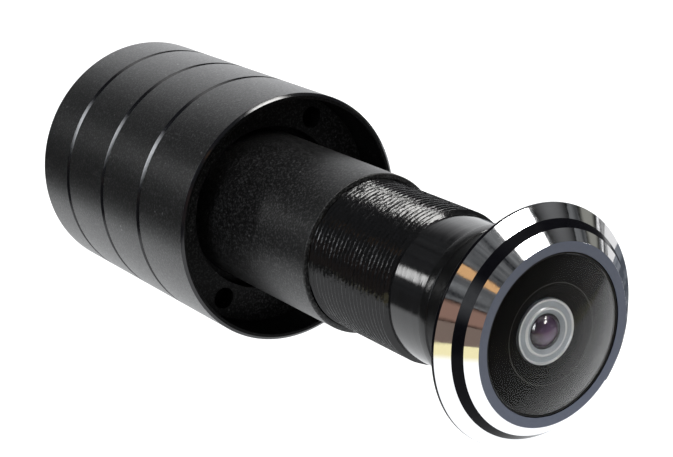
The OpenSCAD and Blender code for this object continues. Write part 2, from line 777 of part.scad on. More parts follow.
// Ring with two key slots that holds the lenses in the tube.
module lens_retainer() {
    color("#202124") on_axis() difference() {
        turned([
            [retainer_bore_d / 2, retainer_back], [insert_r, retainer_back],
            [insert_r, retainer_back + retainer_t], [retainer_bore_d / 2, retainer_back + retainer_t]]);
        translate([0, 0, retainer_back - overcut])
            block(2 * tube_bore_d, retainer_slot_w, overcut + retainer_slot_t);
    }
}

housing();
rear_cover();
cover_seal();
cable_grommet();
retaining_ring();
barrel();
camera_barrel();
camera_glass();
lens_holder();
image_sensor();
main_board();
holder_screws();
processor_chip();
memory_chip();
board_header();
power_board();
capacitors();
choke();
cable_connector();
front_posts();
rear_posts();
board_screws();
door_gasket();
bezel();
front_tube();
dome_lens();
lens_seal();
lens_baffle();
inner_ring();
inner_lens();
lens_cell();
front_spacer();
field_lens();
rear_spacer();
rear_lens();
lens_retainer();
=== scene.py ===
"""Looks of a peephole door camera: blasted and turned black metal, a cut thread, bright slopes and optics.

The viewing axis is the Y axis and the lens looks along -Y. An outline is a list of points (along, radius),
where along is the distance from the rim of the housing towards the lens. All lengths are in metres.
"""
import itertools
import json
import math
import random

import bmesh
import bpy
from mathutils import Matrix, Vector


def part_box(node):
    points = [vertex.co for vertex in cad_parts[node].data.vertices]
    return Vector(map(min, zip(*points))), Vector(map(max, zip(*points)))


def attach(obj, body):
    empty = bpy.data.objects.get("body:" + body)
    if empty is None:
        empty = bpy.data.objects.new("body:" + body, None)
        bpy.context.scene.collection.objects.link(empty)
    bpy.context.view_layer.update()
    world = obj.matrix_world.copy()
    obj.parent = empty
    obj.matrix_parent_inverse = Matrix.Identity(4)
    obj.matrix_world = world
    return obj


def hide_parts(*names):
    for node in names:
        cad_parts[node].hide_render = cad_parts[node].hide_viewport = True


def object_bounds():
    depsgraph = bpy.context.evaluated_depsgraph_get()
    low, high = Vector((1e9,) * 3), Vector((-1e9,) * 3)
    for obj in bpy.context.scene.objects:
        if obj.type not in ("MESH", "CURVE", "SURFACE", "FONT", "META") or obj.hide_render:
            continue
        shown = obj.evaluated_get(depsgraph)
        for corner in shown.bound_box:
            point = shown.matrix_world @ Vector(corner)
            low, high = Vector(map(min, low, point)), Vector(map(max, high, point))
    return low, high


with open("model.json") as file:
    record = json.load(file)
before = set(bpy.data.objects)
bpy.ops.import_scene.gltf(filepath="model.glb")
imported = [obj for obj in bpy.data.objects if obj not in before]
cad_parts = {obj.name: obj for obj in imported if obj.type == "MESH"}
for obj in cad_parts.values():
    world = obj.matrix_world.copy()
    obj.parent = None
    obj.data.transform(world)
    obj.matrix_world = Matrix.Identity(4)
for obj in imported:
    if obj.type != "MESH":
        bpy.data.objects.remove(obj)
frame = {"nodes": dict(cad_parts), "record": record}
CAD_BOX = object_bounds()

MM = 0.001

# Meshing
SEGMENTS = 224
THREAD_SEGMENTS = 168
HOLE_SEGMENTS = 64
BACKDROP_SEGMENTS = 48
ARC_STEPS = 5
DOME_STEPS = 28
SHARP_ANGLE = math.radians(32)
ON_AXIS = 1e-9
WELD = 1e-7

# Housing and cover; a groove is painted from GROOVE_SKIN below the surface
GROOVE_FIRST = 13.6 * MM
GROOVE_PITCH = 12 * MM
GROOVE_WIDTH = 1.0 * MM
GROOVE_DEPTH = 0.5 * MM
GROOVE_EDGE = 0.08 * MM
GROOVE_SKIN = GROOVE_EDGE / 9
HOUSING_WALL = 2 * MM
RIM_WALL = 1 * MM
RIM_EDGE = 0.15 * MM
RIM_BEVEL = 0.45 * MM
RIM_BEVEL_DEPTH = 0.3 * MM
WEB = 2 * MM
WEB_HOLE = 8 * MM
COVER_WALL = 2.5 * MM
COVER_EDGE = 0.7 * MM
SKIRT_WALL = 1.9 * MM
KEY_HOLE = 1.25 * MM
KEY_HOLE_EDGE = 7 * MM
KEY_HOLE_DEPTH = 1.4 * MM
SLIP = 0.05 * MM

# Retaining ring and barrel; the ring's holes are cut right through, RING_HOLE_PAST beyond its back
RING_BORE = 13.3 * MM
RING_HOLE = 1.7 * MM
RING_HOLE_PAST = 0.3 * MM
RING_HOLE_ANGLE = 58
BARREL_WALL = 0.8 * MM
BARREL_EDGE = 0.2 * MM
FLANGE = 2.5 * MM
BARREL_RADIUS = 12.25 * MM

# Front tube; the thread's profile has points (share of the pitch, share of the height)
THREAD_SHOWN = 18.6 * MM
THREAD_PITCH = 0.9 * MM
THREAD_DEPTH = 0.5 * MM
THREAD_BURR = 0.012 * MM
THREAD_SEED = 5
THREAD_CHAMFER = 2
THREAD_PROFILE = ((0.035, 1), (0.165, 0.766), (0.463, 0), (0.537, 0), (0.835, 0.766), (0.965, 1))
TUBE_RADIUS = 10.8 * MM
TUBE_BORE = 9 * MM
LIP_RADIUS = 7.5 * MM
LIP = 0.7 * MM

# Bezel, from the back edge to the flat face
BEZEL_EDGE = 0.5 * MM
OUTER_SLOPE = 1.4 * MM
OUTER_SLOPE_RADIUS = 15.15 * MM
RISER = 1.3 * MM
RISER_RADIUS = 14.2 * MM
FACE_RADIUS = 12.7 * MM
LENS_OPENING = 11.3 * MM
FINE_EDGE = 0.07 * MM

# Gasket
GASKET_FLANGE = 2.5 * MM
GASKET_EDGE = 0.45 * MM
SLEEVE_RADIUS = 11.35 * MM
SLEEVE_LIP = 1.6 * MM
SLEEVE_NECK = 0.15 * MM

# Optics; the inner ring's edges get a painted highlight from INNER_RING_SKIN above its dish
DOME_SAG = 2.15 * MM
SEAL_EDGE = 0.1 * MM
BAFFLE_HOLE = 5.3 * MM
BAFFLE_STEP = 6.6 * MM
# BAFFLE_LINE is the width of the painted highlight at the plate's step
BAFFLE_LINE = 0.12 * MM
BAFFLE_LAND = 10.55 * MM
BAFFLE_DROP = 0.2 * MM
BAFFLE_HOLE_DROP = 0.55 * MM
INNER_LENS_SAG = 1.2 * MM
INNER_RING_EDGE = 0.2 * MM
INNER_RING_DISH = 0.15 * MM
INNER_RING_SKIN = INNER_RING_DISH / 9
INNER_RING_BEVEL = 0.55 * MM
INNER_RING_FALL = 0.35 * MM

# Grommet
GROMMET_WAIST = 3.45 * MM
GROMMET_GRIP = 0.9 * MM
GROMMET_COLLAR = 1 * MM
GROMMET_EDGE = 0.35 * MM
CABLE_BORE = 1.75 * MM

# Materials: blasted grain and dust as multiples of the tone, rings of the face, and glass
GRAIN = 0.3 * MM
GRAIN_DARK = 0.2
GRAIN_LIGHT = 8
DUST = 1.1 * MM
DUST_SHARE = 0.06
DUST_LIGHT = 16
SPECK_RADIUS = 0.16
FACE_RINGS = 0.12 * MM
GLASS_CLOUD = 4 * MM
GLASS_UNEVEN = 1.02
SHEEN_ROUGHNESS = 0.35
# Painted shade on the small lens: its colour darkens from this radius to the next
RIM_SHADE_START = 0.5 * MM
RIM_SHADE_END = 2.2 * MM

# Camera: where it stands, which way it looks, and its lens and sensor in millimetres
CAMERA_AT = Vector((-146.8, -222.6, 84.3)) * MM
CAMERA_LOOK = Vector((0.5445, 0.7804, -0.307))
CAMERA_LENS = 95.22
CAMERA_SENSOR = 36
CAMERA_NEAR = 0.01

# Floor and wall, which only the camera sees
FLOOR_SIZE = 12
FLOOR_CLOUD = 60 * MM
FLOOR_DARK = (0.2, 0.2, 0.2)
FLOOR_LIGHT = (0.22, 0.22, 0.22)
BACKDROP_RADIUS = 5.5
BACKDROP_DROP = 0.01
BACKDROP_HIGH = 6.0

# The white sheet under the part, turned a little, on a table in a dim room. It has a cream margin in front
# and ends on the left and in front; on a slant to the front right it fades from SHEET_FAR to SHEET_GONE.
SHEET_TURN = -9.7
SHEET_LEFT = -48 * MM
SHEET_LEFT_FADE = 12 * MM
SHEET_FRONT = -133 * MM
SHEET_FRONT_FADE = 3 * MM
SHEET_MARGIN = 34 * MM
SHEET_MARGIN_FADE = 10 * MM
SHEET_SLANT = 2.4
SHEET_FAR = 330 * MM
SHEET_GONE = 490 * MM
SHEET_SIZE = 2.0
SHEET_LIGHT = 1.25
SHEET_WHITE = (0.97, 0.985, 1.0)
SHEET_CREAM = (0.78, 0.71, 0.41)
TABLE_COLOUR = (0.055, 0.055, 0.055)
TABLE_FRONT = (0.15, 0.112, 0.094)
ROOM_DARK = (0.008, 0.009, 0.011)
ROOM_LIGHT = (0.19, 0.195, 0.2)
ROOM_SCALE = 15
ROOM_DETAIL = 3.0

# Dim streaky card beside the bezel
FLAG_LOW = Vector((28, -59, -19.9)) * MM
FLAG_HIGH = Vector((28, -15, 7.2)) * MM
FLAG_DARK = (0.07, 0.078, 0.095)
FLAG_LIGHT = (0.3, 0.32, 0.35)
FLAG_STREAK = 7 * MM
FLAG_STRETCH = (2, 0.4, 1)
FLAG_SPREAD = (0.45, 0.7)

# Panels of light round PANEL_AIM: name, azimuth from the lens side to +X, elevation, width and height in
# degrees, distance, softness of the edges, radiance and colour
PANEL_AIM = Vector((0, -47, 0)) * MM
PANELS = (
    ("ceiling_panel", 27, 45.5, 26, 14.5, 0.9, 0.22, 20.0, (1.0, 0.99, 0.97)),
    ("left_window", -61.5, 25, 17, 42, 0.9, 0.35, 13.0, (0.92, 0.95, 1.0)),
    ("high_panel", 58, 56, 12, 9, 0.9, 0.2, 22.0, (1.0, 0.99, 0.97)),
    ("overhead", 90, 84, 70, 44, 0.9, 0.4, 2.2, (1.0, 1.0, 1.0)),
    ("back_lamp", -141, 16.5, 5, 13, 0.9, 0.2, 9.0, (1.0, 1.0, 1.0)),
    ("back_wall", 152, 14, 72, 60, 0.9, 0.3, 1.5, (0.97, 0.98, 1.0)),
    ("right_window", 95, 0.8, 11, 11, 0.2, 0.06, 0.8, (1.0, 1.0, 1.0)),
    ("window_frame", 92.7, 4.9, 2.6, 4, 0.9, 0.1, 0.33, (1.0, 1.0, 1.0)),
    ("window_streak", 89.9, 7.6, 1.8, 3, 0.9, 0.1, 0.9, (1.0, 1.0, 1.0)),
    ("low_wall", 84, 15.5, 10, 12, 0.9, 0.25, 0.25, (1.0, 1.0, 0.9)),
    ("right_wall", 72, 42, 36, 30, 0.9, 0.4, 0.26, (0.97, 0.98, 1.0)),
    ("side_lamp", 61, 11, 4, 5, 0.9, 0.1, 10.0, (1.0, 1.0, 1.0)),
    ("warm_lamp", -24, 27.5, 6, 5.5, 0.9, 0.08, 0.68, (1.0, 0.58, 0.27)),
    ("wood_door", -35, 5, 14, 13, 0.9, 0.2, 0.25, (1.0, 0.6, 0.47)),
)

SLOT_OF = {row["node"]: row["material_slot"] for row in frame["record"]["subparts"]}
BODY_OF = {node: body for body, nodes in frame["record"]["behaviour"]["bodies"].items() for node in nodes}


def reach(node):
    """Back end, front end and outer radius of a round node."""
    low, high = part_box(node)
    return -high.y, -low.y, max(high.x, high.z)


# Outlines and meshes

def rounded(corners):
    """Outline through corners (along, radius[, fillet]), with an arc at each corner that has a fillet."""
    outline = []
    for index, corner in enumerate(corners):
        point = Vector(corner[:2])
        if len(corner) == 2:
            outline.append(point)
            continue
        fillet = corner[2]
        to_last = (Vector(corners[index - 1][:2]) - point).normalized()
        to_next = (Vector(corners[(index + 1) % len(corners)][:2]) - point).normalized()
        half = to_last.angle(to_next) / 2
        centre = point + (to_last + to_next).normalized() * (fillet / math.sin(half))
        start = point + to_last * (fillet / math.tan(half)) - centre
        end = point + to_next * (fillet / math.tan(half)) - centre
        first = math.atan2(start.y, start.x)
        turn = math.atan2(start.x * end.y - start.y * end.x, start.dot(end))
        for step in range(ARC_STEPS + 1):
            angle = first + turn * step / ARC_STEPS
            outline.append(centre + Vector((math.cos(angle), math.sin(angle))) * fillet)
    return outline


def cap(front, radius, sag):
    """Outline points of a ball cap, from its edge to its top on the axis."""
    curve = (radius * radius + sag * sag) / (2 * sag)
    widest = math.asin(radius / curve)
    angles = [widest * (1 - step / DOME_STEPS) for step in range(DOME_STEPS + 1)]
    return [(front - curve + curve * math.cos(a), curve * math.sin(a)) for a in angles]


def ring_of(mesh, along, radius, segments):
    """One ring of vertices round the axis, or a single vertex on it."""
    if radius < ON_AXIS:
        return [mesh.verts.new((0, -along, 0))] * segments
    angles = [math.tau * i / segments for i in range(segments)]
    return [mesh.verts.new((radius * math.cos(a), -along, radius * math.sin(a))) for a in angles]


def span_rings(mesh, first, second):
    """Faces between two rings of vertices."""
    for i in range(len(first)):
        j = (i + 1) % len(first)
        corners = list(dict.fromkeys((first[i], first[j], second[j], second[i])))
        if len(corners) > 2:
            mesh.faces.new(corners)


def turn_outline(mesh, outline, segments, closed=True):
    """Adds the surface that an outline sweeps as it turns about the axis."""
    rings = [ring_of(mesh, along, radius, segments) for along, radius in outline]
    for first, second in zip(rings, rings[1:] + rings[:1] if closed else rings[1:]):
        span_rings(mesh, first, second)


def to_object(mesh, name):
    """Object of a bmesh, with its faces turned outwards."""
    bmesh.ops.recalc_face_normals(mesh, faces=mesh.faces)
    data = bpy.data.meshes.new(name)
    mesh.to_mesh(data)
    mesh.free()
    piece = bpy.data.objects.new(name, data)
    bpy.context.scene.collection.objects.link(piece)
    return piece


def lathe(name, outline, segments=SEGMENTS):
    """Object of a closed outline turned about the axis."""
    mesh = bmesh.new()
    turn_outline(mesh, outline, segments)
    return to_object(mesh, name)


def drill(piece, radius, edge, mouth, bottom, centres):
    """Cuts holes with a countersunk edge along the axis, from the mouth to the bottom."""
    inward = math.copysign(1, bottom - mouth)
    outline = [
        (mouth - inward * edge, 0), (mouth - inward * edge, radius + 2 * edge),
        (mouth + inward * edge, radius), (bottom, radius), (bottom, 0),
    ]
    for x, z in centres:
        cutter = lathe("cutter", outline, HOLE_SEGMENTS)
        cutter.data.transform(Matrix.Translation((x, 0, z)))
        cut = piece.modifiers.new("hole", "BOOLEAN")
        cut.object = cutter
        cut.solver = "EXACT"
        drilled = piece.evaluated_get(bpy.context.evaluated_depsgraph_get())
        piece.data = bpy.data.meshes.new_from_object(drilled)
        piece.modifiers.clear()
        bpy.data.objects.remove(cutter)


def opposite_points(radius, angle):
    """Two points across the axis from each other, as x and z."""
    turns = [math.radians(angle), math.radians(angle + 180)]
    return [(radius * math.cos(a), radius * math.sin(a)) for a in turns]


def paint(piece, index, test):
    """Gives a material slot to the faces whose middle passes a test of (along, radius)."""
    for face in piece.data.polygons:
        middle = face.center
        if test(-middle.y, math.hypot(middle.x, middle.z)):
            face.material_index = index


def dress(piece, node, materials):
    """Smooths a piece, gives it its materials and puts it in the place of its node."""
    for material in materials:
        piece.data.materials.append(material)
    piece.data.polygons.foreach_set("use_smooth", [True] * len(piece.data.polygons))
    piece.data.set_sharp_from_angle(angle=SHARP_ANGLE)
    flats = piece.modifiers.new("flat_faces", "WEIGHTED_NORMAL")
    flats.keep_sharp = True
    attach(piece, BODY_OF[node])
    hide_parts(node)


# Shader patterns

def wire(tree, kind, inputs=None, **settings):
    """Adds a shader node and sets it; a socket given as an input is linked."""
    made = tree.nodes.new(kind)
    for key, value in settings.items():
        setattr(made, key, value)
    for key, value in (inputs or {}).items():
        if isinstance(value, bpy.types.NodeSocket):
            tree.links.new(value, made.inputs[key])
        else:
            made.inputs[key].default_value = value
    return made


def place(tree):
    """The point on the part, in metres, by which patterns are laid out."""
    return wire(tree, "ShaderNodeTexCoord").outputs["Object"]


def from_axis(tree):
    """Distance of that point from the axis."""
    flat = wire(tree, "ShaderNodeVectorMath", {0: place(tree), 1: (1, 0, 1)}, operation="MULTIPLY")
    return wire(tree, "ShaderNodeVectorMath", {0: flat.outputs[0]}, operation="LENGTH").outputs["Value"]


def cloud(tree, size, detail=2.0, stretch=(1, 1, 1)):
    """Cloudy pattern with features of this size."""
    mapped = wire(tree, "ShaderNodeMapping", {"Vector": place(tree), "Scale": stretch})
    settings = {"Vector": mapped.outputs[0], "Scale": 1 / size, "Detail": detail}
    return wire(tree, "ShaderNodeTexNoise", settings).outputs["Fac"]


def turning_marks(tree, size, detail=3.0):
    """Pattern that changes along the axis only, as a lathe tool leaves it."""
    parts = wire(tree, "ShaderNodeSeparateXYZ", {0: place(tree)})
    settings = {"W": parts.outputs["Y"], "Scale": 1 / size, "Detail": detail}
    return wire(tree, "ShaderNodeTexNoise", settings, noise_dimensions="1D").outputs["Fac"]


def below(tree, pattern, limit):
    """1 where a pattern is below a limit and 0 elsewhere."""
    return wire(tree, "ShaderNodeMath", {0: pattern, 1: limit}, operation="LESS_THAN").outputs[0]


def product(tree, first, second):
    """Product of two patterns."""
    return wire(tree, "ShaderNodeMath", {0: first, 1: second}, operation="MULTIPLY").outputs[0]


def specks(tree, size, share):
    """Sparse dots: 1 on the dots and 0 elsewhere."""
    cells = wire(tree, "ShaderNodeTexVoronoi", {"Vector": place(tree), "Scale": 1 / size})
    near = below(tree, cells.outputs["Distance"], SPECK_RADIUS)
    pick = wire(tree, "ShaderNodeSeparateColor", {0: cells.outputs["Color"]})
    return product(tree, near, below(tree, pick.outputs[0], share))


def spread(tree, pattern, low, high, start=0.3, end=0.7):
    """Spreads a pattern over the range from low to high."""
    values = {"Value": pattern, "From Min": start, "From Max": end, "To Min": low, "To Max": high}
    return wire(tree, "ShaderNodeMapRange", values).outputs[0]


def mix_colours(tree, pattern, dark, light):
    """Colour between two, by a pattern."""
    mixed = wire(tree, "ShaderNodeMix", {"Factor": pattern}, data_type="RGBA")
    for socket, colour in ((mixed.inputs[6], dark), (mixed.inputs[7], light)):
        if isinstance(colour, bpy.types.NodeSocket):
            tree.links.new(colour, socket)
        else:
            socket.default_value = (*colour, 1)
    return mixed.outputs[2]


def relief(tree, pattern, depth, under=None):
    """Surface normal of a pattern that stands this deep, on top of another relief."""
    inputs = {"Height": pattern, "Distance": depth}
    if under is not None:
        inputs["Normal"] = under
    return wire(tree, "ShaderNodeBump", inputs).outputs["Normal"]


def surface(name, fixed, colour=None, roughness=None, normal=None):
    """Material with fixed shader values and patterns, each made by a function of the node tree."""
    made = bpy.data.materials.new(name)
    made.use_nodes = True
    tree = made.node_tree
    shader = tree.nodes["Principled BSDF"]
    for key, value in fixed.items():
        shader.inputs[key].default_value = value
    for key, pattern in (("Base Color", colour), ("Roughness", roughness), ("Normal", normal)):
        if pattern is not None:
            tree.links.new(pattern(tree), shader.inputs[key])
    return made


# Materials

def blasted_black(name, tone=0.008, low=0.3, high=0.38, grain=0.018 * MM, ior=1.5):
    """Black anodised metal with a fine blasted grain and a few specks of dust."""
    def colour(tree):
        grains = spread(tree, cloud(tree, GRAIN, 3.0), 0, 1, 0.48, 0.72)
        cloudy = mix_colours(tree, grains, (tone * GRAIN_DARK,) * 3, (tone * GRAIN_LIGHT,) * 3)
        return mix_colours(tree, specks(tree, DUST, DUST_SHARE), cloudy, (tone * DUST_LIGHT,) * 3)

    def roughness(tree):
        return spread(tree, cloud(tree, 0.4 * MM, 4.0), low, high)

    def normal(tree):
        coarse = relief(tree, cloud(tree, 0.5 * MM, 3.0), grain)
        return relief(tree, cloud(tree, 0.2 * MM, 2.0), grain, coarse)

    return surface(name, {"IOR": ior}, colour, roughness, normal)


def thread_black():
    """Glossy black of the cut thread, with torn edges that break up its glints."""
    def normal(tree):
        torn = relief(tree, cloud(tree, 0.3 * MM, 3.0), 0.009 * MM)
        return relief(tree, cloud(tree, 1.1 * MM, 2.0, (1, 3, 1)), 0.05 * MM, torn)

    return surface(
        "thread_black", {"IOR": 1.44},
        lambda tree: mix_colours(tree, cloud(tree, 0.8 * MM), (0.003, 0.003, 0.003), (0.008, 0.008, 0.009)),
        lambda tree: spread(tree, cloud(tree, 0.5 * MM), 0.06, 0.16), normal)


def turned_black():
    """Glossy black of the plain tube, with the fine rings that turning leaves."""
    def normal(tree):
        wide = relief(tree, turning_marks(tree, 1.6 * MM, 2.0), 0.012 * MM)
        return relief(tree, turning_marks(tree, 0.35 * MM, 2.0), 0.002 * MM, wide)

    return surface(
        "turned_black", {"IOR": 1.55},
        lambda tree: mix_colours(tree, cloud(tree, 2 * MM), (0.006, 0.006, 0.006), (0.011, 0.011, 0.012)),
        lambda tree: spread(tree, turning_marks(tree, 0.8 * MM), 0.07, 0.14), normal)


def polished_chrome():
    """Bright slopes of the bezel, with faint polishing lines."""
    return surface(
        "polished_chrome", {"Metallic": 1.0},
        lambda tree: mix_colours(tree, cloud(tree, 3 * MM), (0.86, 0.87, 0.89), (0.93, 0.93, 0.94)),
        lambda tree: spread(tree, cloud(tree, 0.6 * MM, 3.0), 0.035, 0.085),
        lambda tree: relief(tree, cloud(tree, 0.9 * MM, 2.0), 0.0022 * MM))


def gloss_black(name, ior):
    """Smooth black of cut grooves, of the bezel's edge and of the step between its slopes."""
    return surface(
        name, {"IOR": ior},
        lambda tree: mix_colours(tree, cloud(tree, 0.7 * MM), (0.003, 0.003, 0.004), (0.005, 0.005, 0.007)),
        lambda tree: spread(tree, cloud(tree, 0.4 * MM, 3.0), 0.1, 0.18),
        lambda tree: relief(tree, cloud(tree, 0.6 * MM), 0.001 * MM))


def face_grey():
    """Blue-grey satin of the bezel's front face, with faint turning rings."""
    def rings(tree):
        settings = {"W": from_axis(tree), "Scale": 1 / FACE_RINGS, "Detail": 2.0}
        return wire(tree, "ShaderNodeTexNoise", settings, noise_dimensions="1D").outputs["Fac"]

    return surface(
        "face_grey", {"IOR": 1.25},
        lambda tree: mix_colours(tree, cloud(tree, 0.7 * MM), (0.085, 0.095, 0.13), (0.1, 0.112, 0.15)),
        lambda tree: spread(tree, rings(tree), 0.35, 0.5),
        lambda tree: relief(tree, rings(tree), 0.001 * MM))


def rubber(name, tone=0.003, low=0.3, high=0.42, ior=1.28):
    """Black rubber with a fine moulded grain."""
    return surface(
        name, {"IOR": ior},
        lambda tree: mix_colours(tree, cloud(tree, 1 * MM), (tone * 0.7,) * 3, (tone * 1.3,) * 3),
        lambda tree: spread(tree, cloud(tree, 0.7 * MM, 3.0), low, high),
        lambda tree: relief(tree, cloud(tree, 0.3 * MM, 3.0), 0.012 * MM))


def black_plastic():
    """Black plastic of the plate and the lens mounts."""
    dark, light = (0.003, 0.0026, 0.0023), (0.005, 0.0045, 0.004)
    return surface(
        "black_plastic", {"IOR": 1.05},
        lambda tree: mix_colours(tree, cloud(tree, 0.8 * MM), dark, light),
        lambda tree: spread(tree, cloud(tree, 0.5 * MM), 0.4, 0.5),
        lambda tree: relief(tree, cloud(tree, 0.35 * MM), 0.001 * MM))


def clear_glass(name, tint, sheen, ior=1.5):
    """Clear coated glass, a little uneven in its tint, with a soft sheen at low angles."""
    light = tuple(min(1.0, c * GLASS_UNEVEN) for c in tint)
    fixed = {
        "IOR": ior, "Transmission Weight": 1.0, "Roughness": 0.0, "Specular Tint": (0, 0, 0, 1),
        "Sheen Weight": sheen, "Sheen Roughness": SHEEN_ROUGHNESS,
    }
    return surface(name, fixed, lambda tree: mix_colours(tree, cloud(tree, GLASS_CLOUD), tint, light))


def coated_glass():
    """Small lens with a dark purple coating; its colour darkens towards the rim, a painted shade."""
    def colour(tree):
        # Painted shade: darker towards the rim
        rim = spread(tree, from_axis(tree), 0.0, 1.0, RIM_SHADE_START, RIM_SHADE_END)
        return mix_colours(tree, rim, (0.12, 0.062, 0.16), (0.022, 0.014, 0.022))

    return surface(
        "coated_glass", {"IOR": 1.45, "Coat Weight": 0.7, "Coat Roughness": 0.02},
        colour, lambda tree: spread(tree, cloud(tree, 0.6 * MM), 0.02, 0.07))


def grained(name, dark, light, low, high, metallic=0.0, size=0.6 * MM, depth=0.004 * MM):
    """Plain part with cloudy colour, uneven gloss and a slight relief."""
    return surface(
        name, {"Metallic": metallic},
        lambda tree: mix_colours(tree, cloud(tree, size), dark, light),
        lambda tree: spread(tree, cloud(tree, size * 0.7, 3.0), low, high),
        lambda tree: relief(tree, cloud(tree, size * 0.5), depth))


MATERIALS = {
    "anodised_black": blasted_black("anodised_black"),
    "ring_black": blasted_black("ring_black", 0.003, 0.42, 0.54, 0.01 * MM, 1.18),
    "thread_black": thread_black(),
    "polished_chrome": polished_chrome(),
    "gasket_rubber": rubber("gasket_rubber"),
    "seal_rubber": rubber("seal_rubber", 0.003, 0.3, 0.45),
    "front_glass": clear_glass("front_glass", (0.97, 0.96, 0.94), 0.85),
    "coated_glass": coated_glass(),
    "optic_glass": clear_glass("optic_glass", (0.95, 0.97, 0.96), 0.6),
    "black_plastic": black_plastic(),
    "bright_ring": grained("bright_ring", (0.38, 0.42, 0.48), (0.46, 0.5, 0.57), 0.3, 0.45),
    "board_green": grained("board_green", (0.01, 0.07, 0.025), (0.02, 0.11, 0.04), 0.3, 0.5),
    "chip_black": grained("chip_black", (0.015, 0.015, 0.016), (0.03, 0.03, 0.032), 0.45, 0.65),
    "sensor_glass": grained("sensor_glass", (0.03, 0.05, 0.045), (0.06, 0.08, 0.07), 0.05, 0.15),
    "capacitor_sleeve": grained("capacitor_sleeve", (0.03, 0.03, 0.05), (0.05, 0.05, 0.08), 0.3, 0.45),
    "connector_cream": grained("connector_cream", (0.62, 0.56, 0.42), (0.72, 0.66, 0.52), 0.35, 0.5),
    "post_brass": grained("post_brass", (0.6, 0.43, 0.16), (0.72, 0.53, 0.22), 0.22, 0.36, 1.0),
    "screw_steel": grained("screw_steel", (0.5, 0.51, 0.53), (0.62, 0.63, 0.65), 0.2, 0.35, 1.0),
}
LENS_BACK = clear_glass("lens_back", (0.98, 0.98, 0.97), 0.0, 1.2)
TURNED_BLACK = turned_black()
GROOVE_BLACK = gloss_black("groove_black", 1.55)
STEP_BLACK = gloss_black("step_black", 1.12)
BARREL_BLACK = blasted_black("barrel_black", 0.008, 0.4, 0.47)
FACE_GREY = face_grey()
# Painted shade: a darker, duller black for the faces deep in the recess and under the ring
RECESS_PAINTED_SHADE = blasted_black("recess_painted_shade", 0.0015, 0.4, 0.5, 0.01 * MM, 1.15)
# Painted highlight: a lighter colour for the raised edges of the inner ring
PAINTED_EDGE_HIGHLIGHT = grained("edge_painted_highlight", (0.66, 0.68, 0.72), (0.74, 0.76, 0.8), 0.3, 0.42, 0.5)
# Painted highlight: a lighter band at the step of the plate
PAINTED_STEP_HIGHLIGHT = grained("step_painted_highlight", (0.01, 0.009, 0.008), (0.015, 0.014, 0.012), 0.5, 0.6)
SMOOTH_RUBBER = rubber("smooth_rubber", 0.005, 0.12, 0.2, 1.4)


# Pieces

def groove(along, radius):
    """Corners of a groove round a body, from its front edge to its back edge."""
    half = GROOVE_WIDTH / 2
    return [(along + half, radius, GROOVE_EDGE), (along, radius - GROOVE_DEPTH, GROOVE_EDGE),
            (along - half, radius, GROOVE_EDGE)]


def housing():
    """Grooved shell with a thin rim, the recess and the wall in front of the electronics."""
    seam, rim, radius = reach("housing")
    web = reach("barrel")[0]
    mouth = radius - RIM_WALL
    cavity = radius - HOUSING_WALL
    first = rim - GROOVE_FIRST
    outline = rounded([
        (web - WEB, WEB_HOLE), (web, WEB_HOLE), (web, mouth), (rim, mouth, RIM_EDGE),
        (rim, radius - RIM_BEVEL, FINE_EDGE), (rim - RIM_BEVEL_DEPTH, radius, FINE_EDGE),
        *groove(first, radius), *groove(first - GROOVE_PITCH, radius),
        (seam + GROOVE_WIDTH / 2, radius, GROOVE_EDGE), (seam, radius - GROOVE_DEPTH),
        (seam, cavity), (web - WEB, cavity)])
    shell = lathe("housing_shell", outline)
    # Painted shade: the faces inside the recess get the darker black
    paint(shell, 1, lambda along, r: along > web and r < radius - RIM_BEVEL)
    paint(shell, 2, lambda along, r: rim - RIM_BEVEL_DEPTH < along < rim and r > radius - RIM_BEVEL)
    paint(shell, 2, lambda along, r: cavity < r < radius - GROOVE_SKIN and along < first + GROOVE_WIDTH)
    dress(shell, "housing", [MATERIALS["anodised_black"], RECESS_PAINTED_SHADE, GROOVE_BLACK])


def rear_cover():
    """Cap behind the last groove, with two key holes and the seat of the grommet."""
    back, front, radius = reach("rear_cover")
    seam = reach("housing")[0]
    skirt = radius - HOUSING_WALL - SLIP
    collar = reach("cable_grommet")[2] + SLIP
    inside = back + COVER_WALL
    outline = rounded([
        (inside, GROMMET_WAIST + SLIP), (back + GROMMET_COLLAR + SLIP, GROMMET_WAIST + SLIP),
        (back + GROMMET_COLLAR + SLIP, collar), (back, collar, FINE_EDGE), (back, radius, COVER_EDGE),
        (seam - GROOVE_WIDTH / 2, radius, GROOVE_EDGE), (seam, radius - GROOVE_DEPTH), (seam, skirt),
        (front, skirt, FINE_EDGE), (front, skirt - SKIRT_WALL), (inside, skirt - SKIRT_WALL)])
    cover = lathe("rear_cover_cap", outline)
    holes = opposite_points(radius - KEY_HOLE_EDGE, 0)
    drill(cover, KEY_HOLE, FINE_EDGE, back, back + KEY_HOLE_DEPTH, holes)
    paint(cover, 1, lambda along, r: seam - GROOVE_WIDTH / 2 < along < seam)
    dress(cover, "rear_cover", [MATERIALS["anodised_black"], GROOVE_BLACK])


def cable_grommet():
    """Rubber grommet with a rounded collar."""
    back, front, radius = reach("cable_grommet")
    inside = reach("rear_cover")[0] + COVER_WALL + SLIP
    outline = rounded([
        (back, CABLE_BORE, GROMMET_EDGE), (back, radius, GROMMET_EDGE), (back + GROMMET_COLLAR, radius),
        (back + GROMMET_COLLAR, GROMMET_WAIST), (inside, GROMMET_WAIST),
        (inside, GROMMET_WAIST + GROMMET_GRIP), (front, GROMMET_WAIST + GROMMET_GRIP / 2, GROMMET_EDGE),
        (front, CABLE_BORE)])
    dress(lathe("grommet_moulding", outline), "cable_grommet", [MATERIALS["seal_rubber"]])


